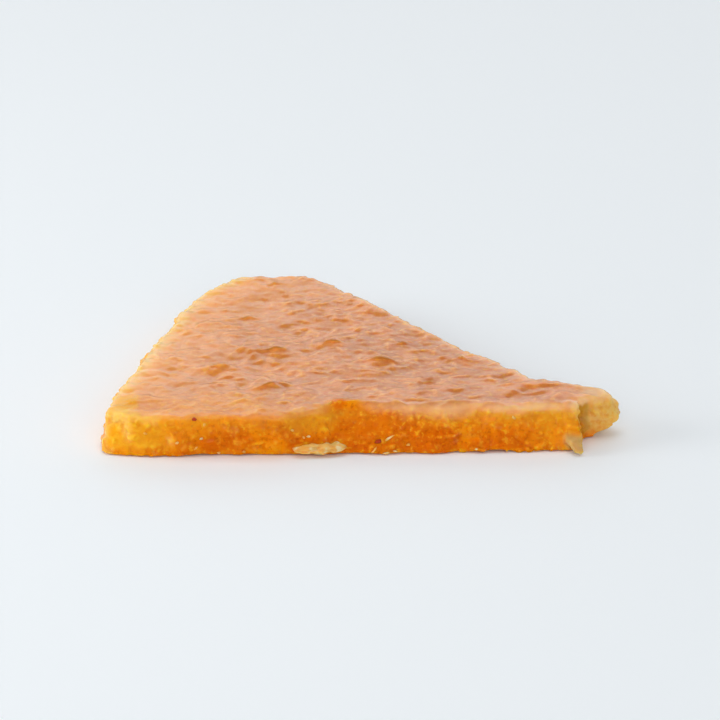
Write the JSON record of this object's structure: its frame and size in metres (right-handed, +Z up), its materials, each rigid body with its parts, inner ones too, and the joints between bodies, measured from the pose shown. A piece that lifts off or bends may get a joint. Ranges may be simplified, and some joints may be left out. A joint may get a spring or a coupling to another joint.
{
  "type": "coconut brittle shard",
  "caption": "Flat snapped shard of coconut brittle: amber caramel with grated coconut, a rippled glossy top, craggy broken walls with a chip and a nub, and a flat underside.",
  "frame": {"origin": "middle of the bounding box in plan, at the level of the flat underside", "axes": "+X to the right along the long front break, +Y from the front break to the back, +Z up out of the glossy skin"},
  "size_m": [0.0474, 0.0406, 0.0043],
  "materials": {
    "coconut_caramel": "clear amber caramel full of grated coconut: glossy rippled skin on top, grainy broken walls"
  },
  "bodies": {
    "root": {"brittle_shard": "coconut_caramel"}
  },
  "joints": []
}
